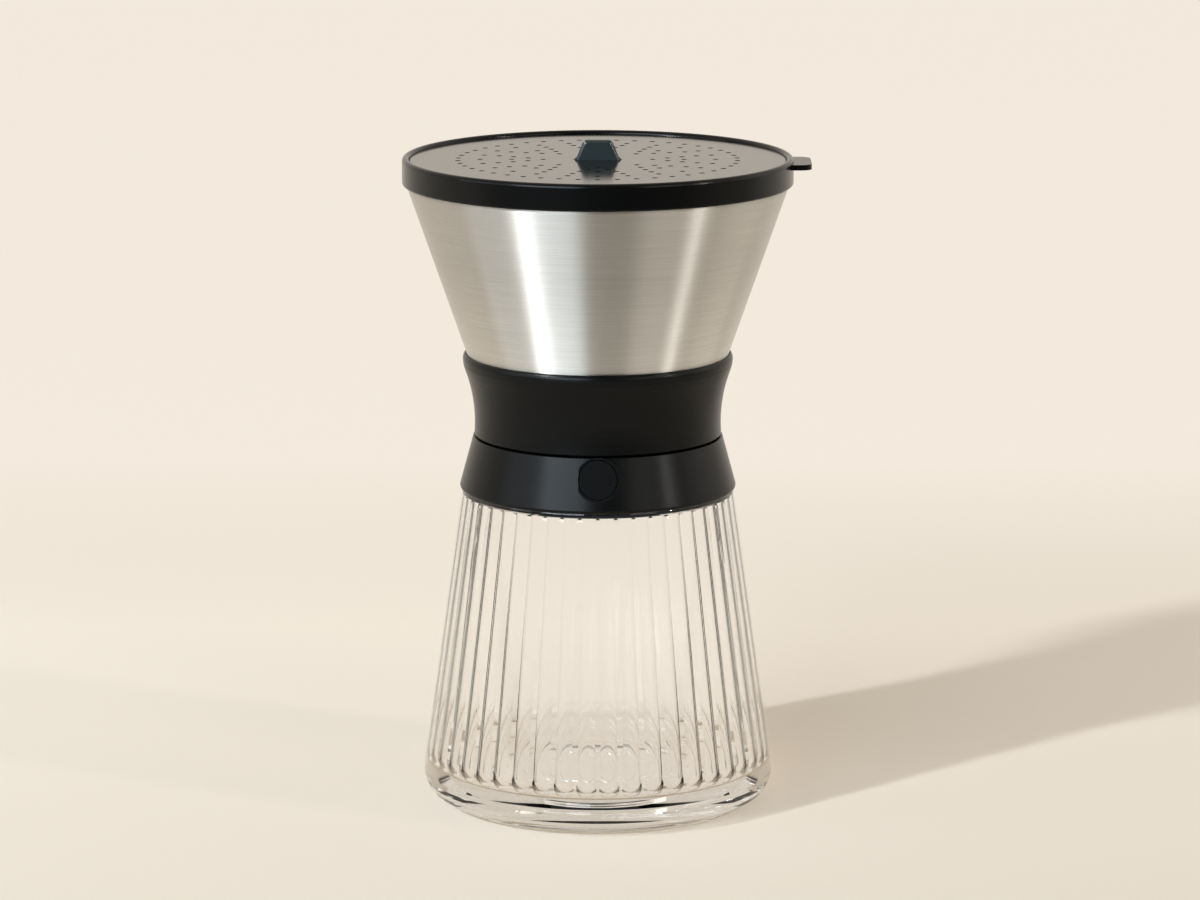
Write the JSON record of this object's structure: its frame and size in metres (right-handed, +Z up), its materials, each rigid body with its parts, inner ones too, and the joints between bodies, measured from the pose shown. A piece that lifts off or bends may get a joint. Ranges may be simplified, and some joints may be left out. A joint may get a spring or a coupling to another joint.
{
  "type": "cold brew coffee maker",
  "caption": "Glass carafe with a black two-piece collar, a flared steel brewing cone, a perforated lid and a push-button drain valve.",
  "frame": {"origin": "centre of the carafe's base, on the surface it stands on", "axes": "+Z up along the axis of the carafe and cone; the button faces -Y and the lid's lifting tab points along +X"},
  "size_m": [0.1504, 0.144, 0.2483],
  "materials": {
    "clear_glass": "clear, polished",
    "black_plastic": "satin gloss",
    "inner_plastic": "matt moulded",
    "steel": "brushed round the cone",
    "fastener_steel": "plain",
    "silicone": "matt"
  },
  "bodies": {
    "carafe": {"carafe": "clear_glass"},
    "brewer": {"carafe_gasket": "silicone", "lower_collar": "black_plastic", "drain_plate": "inner_plastic", "drain_screws": "fastener_steel", "upper_collar": "black_plastic", "hopper_seal": "silicone", "cone_gasket": "silicone", "brew_cone": "steel", "clamp_ring": "inner_plastic", "clamp_screws": "fastener_steel", "valve_spring": "fastener_steel"},
    "button": {"button_cap": "black_plastic", "push_slider": "inner_plastic", "button_screw": "fastener_steel"},
    "valve": {"valve_stem": "fastener_steel", "valve_seal": "silicone", "valve_follower": "inner_plastic", "valve_clip": "fastener_steel"},
    "filter": {"filter_frame": "inner_plastic", "filter_mesh": "steel", "filter_handle": "inner_plastic"},
    "lid": {"lid_rim": "black_plastic", "shower_plate": "black_plastic", "lid_knob": "black_plastic", "knob_screw": "fastener_steel"}
  },
  "joints": [
    {"name": "brewer_lift", "type": "slide", "parent": "carafe", "child": "brewer", "axis": [0, 0, 1], "range_m": [0, 0.06]},
    {"name": "lid_lift", "type": "slide", "parent": "brewer", "child": "lid", "axis": [0, 0, 1], "range_m": [0, 0.06]},
    {"name": "filter_lift", "type": "slide", "parent": "brewer", "child": "filter", "axis": [0, 0, 1], "range_m": [0, 0.045]},
    {"name": "button_press", "type": "slide", "parent": "brewer", "child": "button", "axis": [0, 1, 0], "range_m": [0, 0.0024], "stiffness_N_per_m": 400, "springref_m": -0.002},
    {"name": "valve_rise", "type": "slide", "parent": "brewer", "child": "valve", "axis": [0, 0, 1], "range_m": [0, 0.0015], "deforming": ["valve_spring"]}
  ],
  "couplings": [
    {"joint": "valve_rise", "follows": "button_press", "ratio": 0.625}
  ]
}
